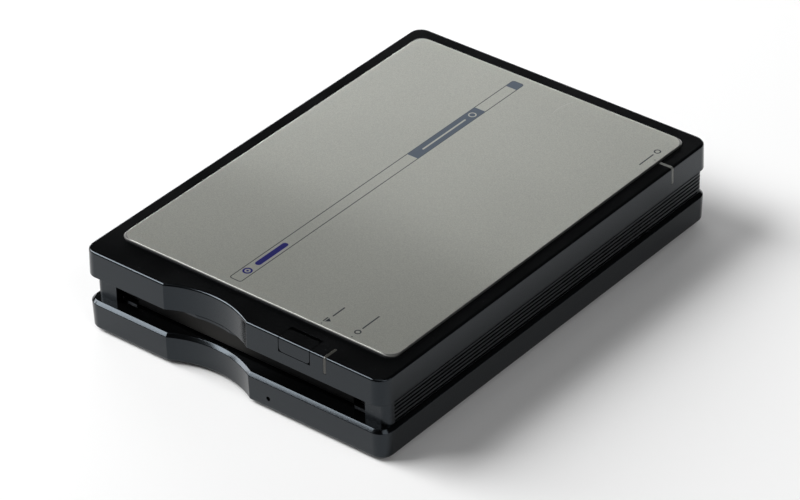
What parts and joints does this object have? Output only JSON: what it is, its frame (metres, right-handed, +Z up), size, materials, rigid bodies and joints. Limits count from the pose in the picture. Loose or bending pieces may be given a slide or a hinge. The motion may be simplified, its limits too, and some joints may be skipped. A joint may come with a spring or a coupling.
{
  "type": "magneto-optical disc drive",
  "caption": "Flat external magneto-optical drive: black upper and lower shells with a finger notch, a ribbed waist with a flapped cartridge slot, and a silver top plate over its mechanism.",
  "frame": {"origin": "on the surface it stands on, under the middle of the case", "axes": "+Z up, front with the cartridge mouth towards -Y, +X to the right of the front"},
  "size_m": [0.1106, 0.1554, 0.0283],
  "materials": {
    "black_case": "fine satin moulded black",
    "waist_black": "satin moulded black",
    "silver_plate": "fine-grained silver, matt",
    "rubber": "soft black rubber",
    "screw_steel": "plated steel",
    "light_pipe": "clear moulded light pipe",
    "board_green": "green solder mask",
    "black_part": "black moulded part",
    "lamp": "pale green lamp body",
    "ribbon": "white flat cable",
    "cast_alloy": "die-cast alloy",
    "sheet_steel": "plated sheet steel",
    "rotor_steel": "ground steel",
    "coil_copper": "lacquered copper wire",
    "lens_glass": "coated glass",
    "magnet": "plated magnet",
    "laser_gold": "gold-plated",
    "gear_nylon": "ivory nylon"
  },
  "bodies": {
    "case": {"lower_case": "black_case", "waist_frame": "waist_black", "upper_case": "black_case", "top_plate": "silver_plate", "rubber_feet": "rubber", "case_screws": "screw_steel", "access_light_pipe": "light_pipe", "power_light_pipe": "light_pipe", "flap_spring": "screw_steel", "slot_guides": "screw_steel", "front_board": "board_green", "eject_switch": "black_part", "status_lamps": "lamp", "ribbon_cable": "ribbon", "drive_chassis": "cast_alloy", "rubber_mounts": "rubber", "chassis_screws": "screw_steel", "spindle_motor": "sheet_steel", "guide_rails": "rotor_steel", "coil_yokes": "sheet_steel", "yoke_magnets": "magnet", "optics_block": "cast_alloy", "laser_diode": "laser_gold", "gear_shaft": "screw_steel", "loading_motor": "sheet_steel", "motor_bracket": "sheet_steel", "drive_board": "board_green", "board_chips": "black_part", "interface_board": "board_green", "board_screws": "screw_steel", "usb_socket": "sheet_steel", "dc_jack": "black_part"},
    "eject_button": {"eject_button": "black_case"},
    "flap": {"slot_flap": "waist_black"},
    "spindle": {"spindle_rotor": "rotor_steel"},
    "head": {"head_carriage": "cast_alloy", "carriage_coils": "coil_copper"},
    "lens": {"lens_holder": "black_part", "objective_lens": "lens_glass"},
    "load_slide": {"load_slide": "sheet_steel"},
    "holder": {"cartridge_holder": "sheet_steel", "bias_magnet": "magnet"},
    "ejector": {"ejector_arm": "sheet_steel"},
    "gear": {"reduction_gear": "gear_nylon"},
    "pinion": {"motor_pinion": "laser_gold"}
  },
  "joints": [
    {"name": "eject_push", "type": "slide", "parent": "case", "child": "eject_button", "axis": [0, 1, 0], "range_m": [0, 0.0009], "stiffness_N_per_m": 400, "springref_m": -0.0006},
    {"name": "flap_swing", "type": "hinge", "parent": "case", "child": "flap", "pos_m": [0, -0.0711, 0.01935], "axis": [1, 0, 0], "range_deg": [0, 88], "stiffness_Nm_per_rad": 0.002, "springref_deg": -17.19, "deforming": ["flap_spring"]},
    {"name": "spindle_spin", "type": "hinge", "parent": "case", "child": "spindle", "pos_m": [0, -0.0222, 0.00935], "axis": [0, 0, 1], "continuous": true},
    {"name": "head_seek", "type": "slide", "parent": "case", "child": "head", "axis": [0, 1, 0], "range_m": [0, 0.0175]},
    {"name": "lens_focus", "type": "slide", "parent": "head", "child": "lens", "axis": [0, 0, 1], "range_m": [-0.0003, 0.0003], "stiffness_N_per_m": 40},
    {"name": "load_run", "type": "slide", "parent": "case", "child": "load_slide", "axis": [0, 1, 0], "range_m": [0, 0.008]},
    {"name": "holder_drop", "type": "slide", "parent": "case", "child": "holder", "axis": [0, 0, -1], "range_m": [0, 0.0024]},
    {"name": "ejector_swing", "type": "hinge", "parent": "holder", "child": "ejector", "pos_m": [0.0398, 0.0208, 0.01555], "axis": [0, 0, -1], "range_deg": [0, 14], "stiffness_Nm_per_rad": 0.01, "springref_deg": -17.19},
    {"name": "gear_turn", "type": "hinge", "parent": "case", "child": "gear", "pos_m": [-0.04345, 0.0443, 0.00935], "axis": [0, 0, 1], "range_deg": [-131.96, 0]},
    {"name": "pinion_turn", "type": "hinge", "parent": "case", "child": "pinion", "pos_m": [-0.03605, 0.04858, 0.00935], "axis": [0, 0, 1], "range_deg": [0, 316.31]}
  ],
  "couplings": [
    {"joint": "holder_drop", "follows": "load_run", "ratio": 0.3},
    {"joint": "gear_turn", "follows": "load_run", "rad_per_m": -285.71},
    {"joint": "pinion_turn", "follows": "load_run", "rad_per_m": 685.71}
  ]
}
